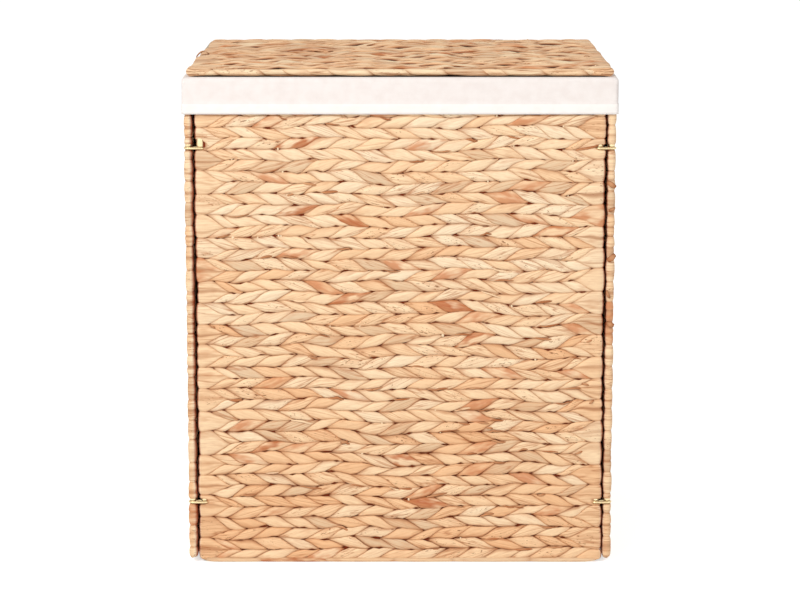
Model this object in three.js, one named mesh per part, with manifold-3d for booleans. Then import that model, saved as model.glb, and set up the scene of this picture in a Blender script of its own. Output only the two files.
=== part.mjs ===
// Folding laundry hamper of woven panels on wire frames, with a hinged lid, a hinged base and a cloth liner.
// Millimetres, +Z up. The front faces -Y, the floor is z = 0 and the middle of the base is the origin.
import * as THREE from 'three'
import { mergeVertices } from 'three/addons/utils/BufferGeometryUtils.js'
import Module from 'manifold-3d'

const wasm = await Module()
wasm.setup()

// the walls, over their outer faces
const BODY_WIDTH = 457
const BODY_DEPTH = 356
const WALL_HEIGHT = 525
const SIDE_LIFT = 5
const CORNER_GAP = 3

// the wire frame inside each panel and the strands that wrap it
const ROD_WIRE = 5
const STAKE_WIRE = 3
const STAKE_PITCH = 81.6
const WRAP = 2.25
const ROW_PITCH = 11.8
const ROW_GROOVE = 1.1
const PANEL_CORNER = 10
const EDGE_FLAT = 0.5
const SEAM = 0.3

// the wire rings that link the panels
const RING_WIRE = 2.5
const RING_PLAY = 0.4
const NOTCH_PLAY = 0.5
const LOW_RING = 67
const HIGH_RING_DROP = 73
const LID_RING_INSET = 66
const BASE_RING_INSET = 66

// lid
const LID_WIDTH = 451
const LID_SETBACK = 6

// hand holes in the side walls
const HOLE_LENGTH = 120
const HOLE_HEIGHT = 35
const HOLE_DROP = 75
const HOLE_STEPS = 6

// cloth liner
const CLOTH = 1.2
const BAG_GAP = 1.5
const CUFF_DROP = 38.7
const HEM_HEIGHT = 10.7
const HEM_SWELL = 0.5
const BAG_CORNER = 10
const CUFF_CORNER = 3
const BAG_SAG_RADIUS = 8

// what follows from those sizes
const thick = ROD_WIRE + 2 * WRAP
const round = thick / 2
const rodInset = round - EDGE_FLAT
const ringInner = ROD_WIRE / 2 + RING_PLAY
const ringLine = ringInner + RING_WIRE / 2
const ringReach = ringInner + RING_WIRE
const floorInset = Math.max(rodInset, ringReach + SEAM)
const sideX = BODY_WIDTH / 2 - round
const frontY = BODY_DEPTH / 2 - round
const frontWidth = BODY_WIDTH - 2 * thick - 2 * CORNER_GAP
const baseDepth = BODY_DEPTH - 2 * thick - 2 * CORNER_GAP
const ringHeights = [LOW_RING, WALL_HEIGHT - HIGH_RING_DROP]
const lidRingX = frontWidth / 2 - LID_RING_INSET
const baseRingX = frontWidth / 2 - BASE_RING_INSET
const rimZ = WALL_HEIGHT - rodInset
const foldInner = round + SEAM
const foldOuter = foldInner + CLOTH
const lidZ = rimZ + foldOuter + SEAM + round
const lidDepth = frontY + rodInset + BODY_DEPTH / 2 - LID_SETBACK
const lidLink = lidZ - rimZ
const cornerLink = sideX - (frontWidth / 2 - round)
const baseRodY = baseDepth / 2 - rodInset
const baseLink = frontY - baseRodY
const notchReach = ringReach + NOTCH_PLAY
const notchHalf = RING_WIRE / 2 + NOTCH_PLAY
const holeV = WALL_HEIGHT - SIDE_LIFT - HOLE_DROP
const holeLoop = HOLE_HEIGHT / 2 + round
const holeStraight = (HOLE_LENGTH - HOLE_HEIGHT) / 2

// a manifold solid from any closed three.js geometry
function solid(geometry) {
  const bare = geometry.clone()
  bare.deleteAttribute('normal')
  bare.deleteAttribute('uv')
  const merged = mergeVertices(bare, 1e-4)
  const mesh = new wasm.Mesh({
    numProp: 3,
    vertProperties: new Float32Array(merged.attributes.position.array),
    triVerts: new Uint32Array(merged.index.array)
  })
  return new wasm.Manifold(mesh)
}

// a three.js geometry from a manifold solid
function geometryOf(body) {
  const mesh = body.getMesh()
  const geometry = new THREE.BufferGeometry()
  geometry.setAttribute('position', new THREE.BufferAttribute(new Float32Array(mesh.vertProperties), 3))
  geometry.setIndex(new THREE.BufferAttribute(new Uint32Array(mesh.triVerts), 1))
  const flat = geometry.toNonIndexed()
  flat.computeVertexNormals()
  return flat
}

// a closed skin over a stack of equal loops; a ring of loops closes on itself
function loft(loops, closesOnItself) {
  const count = loops[0].length
  const points = loops.flat()
  const faces = []
  const last = closesOnItself ? loops.length : loops.length - 1
  for (let i = 0; i < last; i++) {
    const here = i * count
    const next = ((i + 1) % loops.length) * count
    for (let k = 0; k < count; k++) {
      const after = (k + 1) % count
      faces.push(here + k, here + after, next + after)
      faces.push(here + k, next + after, next + k)
    }
  }
  if (!closesOnItself) {
    const top = (loops.length - 1) * count
    for (let k = 1; k < count - 1; k++) {
      faces.push(0, k + 1, k)
      faces.push(top, top + k, top + k + 1)
    }
  }
  const geometry = new THREE.BufferGeometry()
  const flat = points.flatMap((p) => [p.x, p.y, p.z])
  geometry.setAttribute('position', new THREE.Float32BufferAttribute(flat, 3))
  geometry.setIndex(faces)
  return geometry
}

// corner arcs of a closed flat path, counter-clockwise, from the centres of the arcs
function arcPath(centres, radius, steps) {
  const share = (2 * Math.PI) / centres.length
  const path = []
  centres.forEach(([x, y, from]) => {
    for (let i = 0; i <= steps; i++) {
      const angle = from + (share * i) / steps
      path.push(new THREE.Vector2(x + radius * Math.cos(angle), y + radius * Math.sin(angle)))
    }
  })
  return path
}

// a rectangle with rounded corners
function roundedRect(x0, x1, y0, y1, radius, steps) {
  const centres = [
    [x1 - radius, y0 + radius, -Math.PI / 2],
    [x1 - radius, y1 - radius, 0],
    [x0 + radius, y1 - radius, Math.PI / 2],
    [x0 + radius, y0 + radius, Math.PI]
  ]
  return arcPath(centres, radius, steps)
}

// a slot shape: two half circles joined by straights
function stadium(halfStraight, radius, steps) {
  const centres = [
    [halfStraight, 0, -Math.PI / 2],
    [-halfStraight, 0, Math.PI / 2]
  ]
  return arcPath(centres, radius, steps)
}

// a round wire bent along a closed flat path in XY, mitred at each turn
function bentWire(path, radius, sides) {
  const count = path.length
  const loops = path.map((point, i) => {
    const into = point.clone().sub(path[(i + count - 1) % count]).normalize()
    const out = path[(i + 1) % count].clone().sub(point).normalize()
    const along = into.clone().add(out).normalize()
    const mitre = 1 / along.dot(into)
    return Array.from({ length: sides }, (_, k) => {
      const angle = (2 * Math.PI * (k + 0.5)) / sides
      const side = radius * Math.cos(angle) * mitre
      return new THREE.Vector3(point.x + along.y * side, point.y - along.x * side, -radius * Math.sin(angle))
    })
  })
  return loft(loops, true)
}

// a straight wire along Y from one height to another
function straightWire(x, y0, y1, radius, sides) {
  const wire = new THREE.CylinderGeometry(radius, radius, y1 - y0, sides)
  wire.translate(x, (y0 + y1) / 2, 0)
  return wire
}

// a block given by its two corners
function block(x0, x1, y0, y1, z0, z1) {
  const box = new THREE.BoxGeometry(x1 - x0, y1 - y0, z1 - z0)
  box.translate((x0 + x1) / 2, (y0 + y1) / 2, (z0 + z1) / 2)
  return solid(box)
}

// Panels are made lying in XY: X runs along the rows, Y from the first row to the last, Z through the thickness.

// the wire frame of a panel; grow adds the clearance that the strands keep round it
function wireFrame(panel, grow) {
  const rod = ROD_WIRE / 2 + grow
  const stake = STAKE_WIRE / 2 + grow
  const bend = PANEL_CORNER - round
  const reach = panel.width / 2 - round
  const low = panel.lowInset
  const high = panel.height - rodInset
  let frame = solid(bentWire(roundedRect(-reach, reach, low, high, bend, 2), rod, 6))
  if (panel.hole) {
    const loop = bentWire(stadium(holeStraight, holeLoop, HOLE_STEPS), rod, 6)
    loop.translate(0, holeV, 0)
    frame = frame.add(solid(loop))
  }
  const bays = Math.round((2 * reach) / STAKE_PITCH)
  for (let i = 1; i < bays; i++) {
    const x = -reach + (2 * reach * i) / bays
    const past = Math.max(0, Math.abs(x) - holeStraight)
    if (panel.hole && past < holeLoop) {
      const half = Math.sqrt(holeLoop ** 2 - past ** 2)
      frame = frame.add(solid(straightWire(x, low, holeV - half, stake, 6)))
      frame = frame.add(solid(straightWire(x, holeV + half, high, stake, 6)))
    } else {
      frame = frame.add(solid(straightWire(x, low, high, stake, 6)))
    }
  }
  return frame
}

// the outline of a woven panel across its rows, with half-hexagon edges round the end rods
function weaveLoop(panel, y, edge, groove) {
  const slope = Math.tan(Math.PI / 6)
  const fromEdge = Math.min(y, panel.height - y) + EDGE_FLAT
  const inCorner = Math.max(0, PANEL_CORNER - fromEdge)
  const drop = PANEL_CORNER - Math.sqrt(PANEL_CORNER ** 2 - inCorner ** 2)
  const centre = panel.width / 2 - drop - edge
  const half = edge - groove
  const side = [
    [centre + half * slope, -half],
    [centre + half, 0],
    [centre + half * slope, half]
  ]
  const other = side.map(([x, z]) => [-x, -z])
  return [...side, ...other].map(([x, z]) => new THREE.Vector3(x, y, z)).reverse()
}

// the woven slab: a border strand at both ends and one rib for each row between them
function weaveSlab(panel) {
  const border = 2 * rodInset
  const rows = Math.round((panel.height - 2 * border) / ROW_PITCH)
  const pitch = (panel.height - 2 * border) / rows
  const rise = [0, 0.25, 1].map((share) => rodInset * share)
  const edgeAt = (y) => Math.sqrt(round ** 2 - (rodInset - y) ** 2)
  const loops = rise.map((y) => weaveLoop(panel, y, edgeAt(y), 0))
  for (let row = 0; row <= rows; row++) {
    const y = border + pitch * row
    loops.push(weaveLoop(panel, y, round, ROW_GROOVE))
    if (row < rows) loops.push(weaveLoop(panel, y + pitch / 2, round, 0))
  }
  rise.reverse().forEach((y) => loops.push(weaveLoop(panel, panel.height - y, edgeAt(y), 0)))
  return solid(loft(loops, false))
}

// a flat path cut right through a panel
function throughCut(path, y) {
  const shape = new THREE.Shape(path)
  const cut = new THREE.ExtrudeGeometry(shape, { depth: 2 * thick, bevelEnabled: false })
  cut.translate(0, y, -thick)
  return solid(cut)
}

// the woven skin: the slab less its frame's channel, the ring notches and the hand hole
function weave(panel) {
  let skin = weaveSlab(panel).subtract(wireFrame(panel, SEAM))
  panel.notches.forEach(([x0, x1, y0, y1]) => {
    skin = skin.subtract(block(x0, x1, y0, y1, -thick, thick))
  })
  if (panel.hole) skin = skin.subtract(throughCut(stadium(holeStraight, holeLoop + round + SEAM, HOLE_STEPS), holeV))
  return skin
}

// the wrapped grip round the wire of the hand hole
function gripWrap(panel) {
  const wrap = bentWire(stadium(holeStraight, holeLoop, HOLE_STEPS), round, 8)
  wrap.translate(0, holeV, 0)
  return solid(wrap).subtract(wireFrame(panel, SEAM))
}

// a notch round an end rod at a given height, on the low or high end of the rows
function endNotch(panel, end, y) {
  const inner = panel.width / 2 - round - notchReach
  const outer = panel.width / 2 + thick
  const [x0, x1] = end > 0 ? [inner, outer] : [-outer, -inner]
  return [x0, x1, y - notchHalf, y + notchHalf]
}

// notches for a pair of rings, this far either side of the middle, round the first or last rod of a panel
function rodNotches(x, y0, y1) {
  return [-x, x].map((at) => [at - notchHalf, at + notchHalf, y0, y1])
}

const front = { width: frontWidth, height: WALL_HEIGHT, lowInset: floorInset }
front.notches = [-1, 1].flatMap((end) => ringHeights.map((z) => endNotch(front, end, z)))

const back = { ...front }
back.notches = [
  ...front.notches,
  ...rodNotches(lidRingX, WALL_HEIGHT - rodInset - notchReach, WALL_HEIGHT + thick),
  ...rodNotches(baseRingX, -thick, floorInset + notchReach)
]

const side = { width: BODY_DEPTH, height: WALL_HEIGHT - SIDE_LIFT, lowInset: rodInset, hole: true }
side.notches = [-1, 1].flatMap((end) => ringHeights.map((z) => endNotch(side, end, z - SIDE_LIFT)))

const lid = { width: LID_WIDTH, height: lidDepth, lowInset: rodInset }
lid.notches = rodNotches(lidRingX, lidDepth - rodInset - notchReach, lidDepth + thick)

const base = { width: frontWidth, height: baseDepth, lowInset: rodInset }
base.notches = rodNotches(baseRingX, baseDepth - rodInset - notchReach, baseDepth + thick)

const group = new THREE.Group()

const looks = {
  weave: new THREE.MeshStandardMaterial({ color: 0xe8bc93, roughness: 0.8 }),
  lidWeave: new THREE.MeshStandardMaterial({ color: 0xdbb28d, roughness: 0.8 }),
  wire: new THREE.MeshStandardMaterial({ color: 0xc8b48c, roughness: 0.35, metalness: 1 }),
  ring: new THREE.MeshStandardMaterial({ color: 0xcdb078, roughness: 0.3, metalness: 1 }),
  cloth: new THREE.MeshStandardMaterial({ color: 0xfcf3ee, roughness: 0.95, side: THREE.DoubleSide })
}

// adds one named mesh with its own material
function add(name, geometry, look, position, rotation) {
  const mesh = new THREE.Mesh(geometry, looks[look].clone())
  mesh.name = name
  mesh.position.set(...position)
  mesh.rotation.set(...rotation)
  group.add(mesh)
}

// adds a panel's frame and its woven skin in the same place
function addPanel(name, panel, look, position, rotation) {
  add(name + '_frame', geometryOf(wireFrame(panel, 0)), 'wire', position, rotation)
  add(name + '_weave', geometryOf(weave(panel)), look, position, rotation)
  if (panel.hole) add(name + '_grip', geometryOf(gripWrap(panel)), look, position, rotation)
}

const up = Math.PI / 2
addPanel('front', front, 'weave', [0, -frontY, 0], [up, 0, 0])
addPanel('back', back, 'weave', [0, frontY, 0], [up, Math.PI, 0])
addPanel('left', side, 'weave', [-sideX, 0, SIDE_LIFT], [up, -up, 0])
addPanel('right', side, 'weave', [sideX, 0, SIDE_LIFT], [up, up, 0])
addPanel('lid', lid, 'lidWeave', [0, frontY + rodInset - lidDepth, lidZ], [0, 0, 0])
addPanel('base', base, 'weave', [0, -baseDepth / 2, floorInset], [0, 0, 0])

// a wire ring round two rods that lie this far apart along its own X
function ring(link) {
  return bentWire(stadium(link / 2, ringLine, 5), RING_WIRE / 2, 5)
}

const cornerX = sideX - cornerLink / 2
const corners = [['front_left', -1, -1], ['front_right', 1, -1], ['back_left', -1, 1], ['back_right', 1, 1]]
corners.forEach(([name, x, y]) => {
  add('ring_' + name + '_low', ring(cornerLink), 'ring', [x * cornerX, y * frontY, ringHeights[0]], [0, 0, 0])
  add('ring_' + name + '_high', ring(cornerLink), 'ring', [x * cornerX, y * frontY, ringHeights[1]], [0, 0, 0])
})
const ends = [['left', -1], ['right', 1]]
ends.forEach(([name, x]) => {
  const lidX = x * lidRingX
  const baseX = x * baseRingX
  add('lid_ring_' + name, ring(lidLink), 'ring', [lidX, frontY, rimZ + lidLink / 2], [0, up, 0])
  add('base_ring_' + name, ring(baseLink), 'ring', [baseX, frontY - baseLink / 2, floorInset], [0, up, up])
})

// the liner: up the inside of the walls, over the rim and down outside to a hem
function linerBody() {
  const wallX = BODY_WIDTH / 2
  const wallY = BODY_DEPTH / 2
  const floorZ = floorInset + ringReach + SEAM
  const bagX = wallX - thick - BAG_GAP
  const bagY = wallY - thick - BAG_GAP
  const cuffX = wallX + SEAM
  const cuffY = wallY + SEAM
  const cuffEnd = rimZ + foldOuter - CUFF_DROP
  const hemTop = cuffEnd + HEM_HEIGHT
  const at = (x, y, z, radius) => {
    const path = roundedRect(-x, x, -y, y, radius, 3)
    return path.map((p) => new THREE.Vector3(p.x, p.y, z))
  }
  // the rim seen in section: straights that touch the arc from the bag side to the cuff side
  const over = (radius, grow) => {
    return [1, 3, 5, 7, 9, 11].map((twelfth) => {
      const share = twelfth / 12
      const reach = radius / Math.cos(Math.PI / 12)
      const out = -reach * Math.cos(Math.PI * share)
      const corner = BAG_CORNER + (CUFF_CORNER - BAG_CORNER) * share + grow * (2 * share - 1)
      return at(wallX - round + out, wallY - round + out, rimZ + reach * Math.sin(Math.PI * share), corner)
    })
  }
  const sag = BAG_SAG_RADIUS
  const outside = [
    at(bagX - sag, bagY - sag, floorZ, BAG_CORNER),
    at(bagX - 0.3 * sag, bagY - 0.3 * sag, floorZ + 0.3 * sag, BAG_CORNER),
    at(bagX, bagY, floorZ + sag, BAG_CORNER),
    at(bagX, bagY, rimZ - 2 * foldOuter, BAG_CORNER),
    ...over(foldInner, 0),
    at(cuffX, cuffY, hemTop, CUFF_CORNER),
    at(cuffX, cuffY, cuffEnd, CUFF_CORNER),
    at(cuffX + CLOTH + HEM_SWELL, cuffY + CLOTH + HEM_SWELL, cuffEnd, CUFF_CORNER + CLOTH + HEM_SWELL),
    at(cuffX + CLOTH + HEM_SWELL, cuffY + CLOTH + HEM_SWELL, hemTop - 0.5, CUFF_CORNER + CLOTH + HEM_SWELL),
    at(cuffX + CLOTH, cuffY + CLOTH, hemTop, CUFF_CORNER + CLOTH),
    ...over(foldOuter, CLOTH).reverse(),
    at(bagX - CLOTH, bagY - CLOTH, rimZ - 2 * foldOuter, BAG_CORNER - CLOTH),
    at(bagX - CLOTH, bagY - CLOTH, floorZ + sag, BAG_CORNER - CLOTH),
    at(bagX - CLOTH - 0.3 * sag, bagY - CLOTH - 0.3 * sag, floorZ + CLOTH + 0.3 * sag, BAG_CORNER - CLOTH),
    at(bagX - CLOTH - sag, bagY - CLOTH - sag, floorZ + CLOTH, BAG_CORNER - CLOTH)
  ]
  return solid(loft(outside, false))
}

// slits in the fold for the rings of the lid
function liner() {
  let cloth = linerBody()
  ends.forEach(([, x]) => {
    const at = x * lidRingX
    const z0 = rimZ - notchReach
    const cut = block(at - notchHalf, at + notchHalf, frontY - notchReach, frontY + 2 * thick, z0, lidZ)
    cloth = cloth.subtract(cut)
  })
  return cloth
}

add('liner', geometryOf(liner()), 'cloth', [0, 0, 0], [0, 0, 0])

export default group
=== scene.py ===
# The look of the woven laundry hamper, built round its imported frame.
# Sizes are in millimetres until a mesh is made; the camera, lamps and node distances are in metres.
import bpy
import math
import numpy as np
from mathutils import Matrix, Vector


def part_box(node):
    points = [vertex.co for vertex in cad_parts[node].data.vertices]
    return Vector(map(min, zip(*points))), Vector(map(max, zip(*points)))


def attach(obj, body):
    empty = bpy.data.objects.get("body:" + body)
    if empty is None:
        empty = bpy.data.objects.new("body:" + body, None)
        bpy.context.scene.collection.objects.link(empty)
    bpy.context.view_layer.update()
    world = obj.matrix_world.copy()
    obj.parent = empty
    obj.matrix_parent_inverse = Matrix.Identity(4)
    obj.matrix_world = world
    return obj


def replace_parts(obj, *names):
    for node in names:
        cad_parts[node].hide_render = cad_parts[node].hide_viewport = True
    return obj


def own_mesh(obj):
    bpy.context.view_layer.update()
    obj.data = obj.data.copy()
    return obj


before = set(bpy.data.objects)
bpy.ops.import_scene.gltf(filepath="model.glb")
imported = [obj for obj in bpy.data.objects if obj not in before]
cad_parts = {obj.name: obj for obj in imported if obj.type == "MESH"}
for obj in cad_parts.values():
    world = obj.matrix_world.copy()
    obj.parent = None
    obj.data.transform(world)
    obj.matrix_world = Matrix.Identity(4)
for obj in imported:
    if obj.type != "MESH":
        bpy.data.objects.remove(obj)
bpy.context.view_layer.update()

FULL_TURN = 6.283
QUARTER = math.pi / 2
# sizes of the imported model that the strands, rings and cloth are fitted to
THICK = 9.5
ROUND = THICK / 2
EDGE_FLAT = 0.5
ROD_INSET = ROUND - EDGE_FLAT
PANEL_CORNER = 5.5
SIDE_LIFT = 2.6
HOLE_STRAIGHT = 42.5
HOLE_LOOP = 22.25
RING_WIRE_RADIUS = 1.25
# the weave: its rows and leaves, and how far they stand out of a panel's middle plane
ROW_PITCH = 11.8
LEAF_LENGTH = 26.8
LEAF_SKEW = 12.4
LEAF_SLANT = math.radians(15)
END_PIECE = 19.3
KNOTS = 48
PART_FROM = 0.58
PART_WIDE = 3.2
BORDER = 3.4
CREASE = 2.0
BULGE = 2.85
# from DEEP_FROM out of a panel's middle plane inwards, over DEEP_OVER, strands are painted in shade
DEEP_FROM = 4.0
DEEP_OVER = 1.7
LEAF_LIMIT = 5.1
TURN_LIMIT = 4.9
GAP_DEPTH = 6.5
GAP_FLOOR = 2.75
CORE_DEPTH = 1.9
ANGLE_TO_METRES = 0.0045
# the strands of a panel's edge: how far round it they reach, in degrees, and how far sideways each leans, when it is
# laid along the panel or wound over its edge
EDGE_REACH = 112
LAID_TWIST = 8
WOUND_TWIST = 13


def box_mm(node):
    low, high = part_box(node)
    return np.array(low) * 1000, np.array(high) * 1000


# ---------------------------------------------------------------- meshes

def add_object(name, data):
    made = bpy.data.objects.new(name, data)
    bpy.context.scene.collection.objects.link(made)
    return made


def piece(name, points, faces, facts=None, smooth=True):
    """One object from points in millimetres, its faces, and named vector facts for the material."""
    mesh = bpy.data.meshes.new(name)
    mesh.from_pydata((np.asarray(points, float) / 1000).tolist(), [], [list(map(int, face)) for face in faces])
    for fact, values in (facts or {}).items():
        layer = mesh.attributes.new(fact, "FLOAT_VECTOR", "POINT")
        layer.data.foreach_set("vector", np.asarray(values, np.float32).ravel())
    mesh.validate()
    mesh.update()
    if smooth:
        mesh.shade_smooth()
    return add_object(name, mesh)


def band_faces(pairs, spots):
    """Faces between loops of points that follow each other; pairs says which loop joins which."""
    return [(i * spots + k, i * spots + (k + 1) % spots, j * spots + (k + 1) % spots, j * spots + k)
            for i, j in pairs for k in range(spots)]


def sheet(*three):
    """Three facts of curved sheets, such as x, y and n, from parts that needn't have the sheets' full shape."""
    return np.stack(np.broadcast_arrays(*three), -1)


class Patches:
    """Many small curved sheets, gathered into one mesh. Each block is (patches, steps, steps, 3) in a panel's own
    x, y, n, or (steps, steps, 3) for one sheet."""

    def __init__(self):
        self.points, self.faces, self.strand, self.tint = [], [], [], []
        self.count = 0

    def add(self, points, strand, tint, flip=False, keep=None):
        steps, across = points.shape[-3:-1]
        many = points.size // (3 * steps * across)
        corner = (np.arange(steps - 1)[:, None] * across + np.arange(across - 1)).ravel()
        quad = np.stack([corner, corner + across, corner + across + 1, corner + 1], 1)
        if flip:
            quad = quad[:, ::-1]
        start = (np.arange(many) * steps * across)[:, None, None]
        faces = (quad[None] + start).reshape(-1, 4)
        if keep is not None:
            faces = faces[keep.reshape(-1)[faces].any(1)]
        self.faces.append(faces + self.count)
        for store, values in ((self.points, points), (self.strand, strand), (self.tint, tint)):
            store.append(np.broadcast_to(values, points.shape).reshape(-1, 3))
        self.count += many * steps * across

    def done(self, name, place, shape=lambda points: points):
        facts = {"strand": np.concatenate(self.strand), "tint": np.concatenate(self.tint)}
        return piece(name, place(shape(np.concatenate(self.points))), np.concatenate(self.faces), facts)


# ---------------------------------------------------------------- strands

def share_of(value):
    return np.clip(value, 0, 1)


def eased(u):
    u = share_of(u)
    return 0.25 * u + 0.75 * u * u * (3 - 2 * u)


def dent(t, at, wide):
    return np.exp(-((t - at) / wide) ** 2)


def from_hole(x, y):
    """How far a place is from the middle line of a hand hole's loop."""
    return np.hypot(np.maximum(np.abs(x) - HOLE_STRAIGHT, 0), y)


class Lines:
    """The wavering lines between the rows of one panel face."""

    def __init__(self, rng, count, first, pitch):
        self.base = first + pitch * np.arange(count)

        def draws(*ranges):
            return tuple(rng.uniform(low, high, count) for low, high in ranges)

        self.waves = [draws((0.45, 1.05), (90, 190), (0, 6.3)), draws((0.2, 0.5), (30, 60), (0, 6.3))]
        self.gap = draws((60, 120), (0, 6.3), (19, 31), (0, 6.3))
        for sizes, _, _ in self.waves:
            sizes[[0, -1]] = 0.1
        # the strands press each line up and down between their crossings
        self.knots = np.clip(rng.normal(0, 0.82, (count, KNOTS)), -1.4, 1.4)
        self.knots[[0, -1]] *= 0.3

    def at(self, row, x, side):
        """Height of a line at x; side is +1 for the row above it and -1 for the one below, which part at small gaps."""
        y = self.base[row]
        for size, length, phase in self.waves:
            y = y + size[row] * np.sin(x * FULL_TURN / length[row] + phase[row])
        place = np.clip(x / (LEAF_LENGTH / 2) + KNOTS / 2, 0, KNOTS - 1.1)
        knot = np.floor(place).astype(int)
        blend = (1 - np.cos(math.pi * (place - knot))) / 2
        y = y + self.knots[row, knot] * (1 - blend) + self.knots[row, knot + 1] * blend
        a, b, c, d = (part[row] for part in self.gap)
        open_by = np.sin(x * FULL_TURN / a + b) * np.sin(x * FULL_TURN / c + d)
        inner = (row > 0) & (row < len(self.base) - 1)
        return y + side * inner * share_of(open_by - PART_FROM) * PART_WIDE


def row_ends(rng, width, rows):
    """Where the leaves of each row meet, from the left end piece to the right one."""
    half = width / 2 - END_PIECE
    count = max(3, round(2 * half / LEAF_LENGTH + 0.6))
    share = np.ones(count)
    share[[0, -1]] = 0.7
    ends = -half + 2 * half * np.concatenate([[0], np.cumsum(share)]) / share.sum()
    wander = np.clip(rng.normal(0, 2.0, (rows, count + 1)), -4.2, 4.2)
    wander[:, [0, -1]] = np.clip(1.7 * wander[:, [0, -1]], -6, 6) * (1, -1) + (1, -1)
    return ends[None, :] + wander


def leaf_facts(rng, points, turn, edge, row, place):
    """Lengthwise and crosswise places on each leaf, its own seed, and its tone, edge and kind."""
    many = len(points)
    seed = rng.uniform(0, 1, many)[:, None, None]
    x, y = np.moveaxis(points[..., :2] - points[..., :2].mean((1, 2), keepdims=True), -1, 0)
    slope = turn[:, None, None]
    along = x * np.cos(slope) + y * np.sin(slope)
    across = -x * np.sin(slope) + y * np.cos(slope)
    tone = rng.normal(0.53, 0.18, many)
    # two long strands make each row in turns, so every other leaf of a stretch is alike
    long_tone = rng.normal(0, 0.15, (row.max() + 1, 2, 6))
    stretch = np.clip((place - place.min()) / (place.max() - place.min() + 1) * 5.99, 0, 5.99).astype(int)
    tone = share_of(tone + long_tone[row, np.arange(many) % 2, stretch])[:, None, None]
    kind = rng.uniform(0, 1, many)[:, None, None]
    return sheet(along / 1000, across / 1000, seed), sheet(tone, edge, kind)


def face_leaves(patches, rng, lines, ends, side, steps, across, hole, loose, pale):
    """The leaves of every row on one face of a panel; side is +1 for the outer face and -1 for the inner."""
    rows, marks = ends.shape
    row = np.repeat(np.arange(rows), marks - 1)
    many = len(row)

    def each(values):
        return np.reshape(values, (many, 1, 1))

    def draw(low, high):
        return each(rng.uniform(low, high, many))

    rank, left, right = each(row), each(ends[:, :-1]), each(ends[:, 1:])
    up = np.where(rank % 2 == 0, 1, -1)
    # each strand dives in a little before its pointed ends, which leaves small dark holes between four strands
    start = left - LEAF_SKEW + draw(0.05, 0.22) * 2 * LEAF_SKEW
    stop = right + LEAF_SKEW - draw(0.04, 0.2) * 2 * LEAF_SKEW
    share = np.linspace(-1, 1, steps)[:, None]
    share = 0.5 + 0.5 * np.sign(share) * np.abs(share) ** 0.85
    x = start + share * (stop - start)
    low = lines.at(rank, x, 1)
    high = lines.at(rank + 1, x, -1)
    first = eased((x - left + LEAF_SKEW) / (2 * LEAF_SKEW))
    last = eased((x - right + LEAF_SKEW) / (2 * LEAF_SKEW))
    tall = high - low
    top = np.where(up > 0, low + tall * first, high - tall * last)
    bottom = np.where(up > 0, low + tall * last, high - tall * first)
    middle = (top + bottom) / 2
    half = (top - bottom) / 2 + 0.35
    t = np.linspace(-1, 1, across)
    b = np.sin(t * QUARTER)
    fat = each(rng.normal(1, 0.08, many))
    arch = np.sin(math.pi * (0.06 + 0.88 * share)) ** 0.75
    lean = each(np.clip(rng.normal(0, 0.16, many), -0.35, 0.35)) * b
    tip = (share - 0.5) * each(rng.normal(0.5, 0.5, many))
    lift = BULGE * fat * (0.1 + 0.9 * arch) + tip * arch
    # a shallow fold along some strands
    fold_at = draw(-0.5, 0.5)
    fold = np.where(draw(0, 1) < 0.4, draw(0.15, 0.5), 0)
    n = CREASE + lift * np.cos(t * QUARTER) ** 0.68 * (1 + lean) - fold * dent(t, fold_at, 0.16) * arch
    # painted shade: strands get darker where they dive between their neighbours
    deep = share_of((DEEP_FROM + 0.3 * (loose > 1) - n) / DEEP_OVER)
    # a loose panel is calmer near its hinge, where it folds back against the wall
    calm = 1 if loose <= 1 else np.clip((lines.base[-1] - middle) / 60, 0.05, 1)
    n = n + loose * each(np.clip(rng.normal(0, 0.14, many), -0.3, 0.3)) * arch * calm
    n = np.minimum(n, LEAF_LIMIT + 0.2 * loose * calm)
    if loose > 1:
        long_wave = each(rng.uniform(24, 60, rows)[row])
        phase = each(rng.uniform(0, 6.3, rows)[row])
        wave = np.sin(x * FULL_TURN / long_wave / 1.7 + phase) + 0.4 * np.sin(x * FULL_TURN / long_wave + 2 * phase)
        reach = float(ends.max() - ends.min()) / 2 + 8
        n = n + wave * calm * share_of((reach - np.abs(x)) / 16)
    y = middle + half * b
    points = sheet(x, y, side * n)
    # painted shade: each leaf darkens towards its ends, most at its pointed tips, where it dives under its neighbours
    to_end = np.abs(2 * share - 1)
    edge = share_of((to_end - 0.4) / 0.6) ** 1.3 * draw(0.1, 0.6)
    # painted shade: some strands are darker, in red brown, along one side
    brown = np.where(draw(0, 1) < (0.42 if loose > 1 else 0.22), draw(0.25, 0.6), 0) * each(rng.choice([-1, 1], many))
    shaded_side = share_of(np.sign(brown) * b * 1.3 - 0.1) ** 1.5 * np.abs(brown)
    tip_shade = share_of((to_end - 0.84) / 0.16) * draw(0.5, 1.1)
    edge = np.maximum(np.maximum(edge, shaded_side), np.maximum(deep, tip_shade))
    turn = up.ravel() * LEAF_SLANT + rng.normal(0, 0.05, many)
    strand, tint = leaf_facts(rng, points, turn, edge, row, left.ravel())
    # painted light and shade: the strands are paler at the panel's top, and darker between each other at its foot
    upward = 2 * y / lines.base[-1] - 1
    tint[..., 0] = share_of(tint[..., 0] + pale * upward)
    tint[..., 1] = tint[..., 1] * (1 - 1.1 * pale * upward)
    points, keep = round_hole(points, hole)
    patches.add(points, strand, tint, side < 0, keep)


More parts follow.
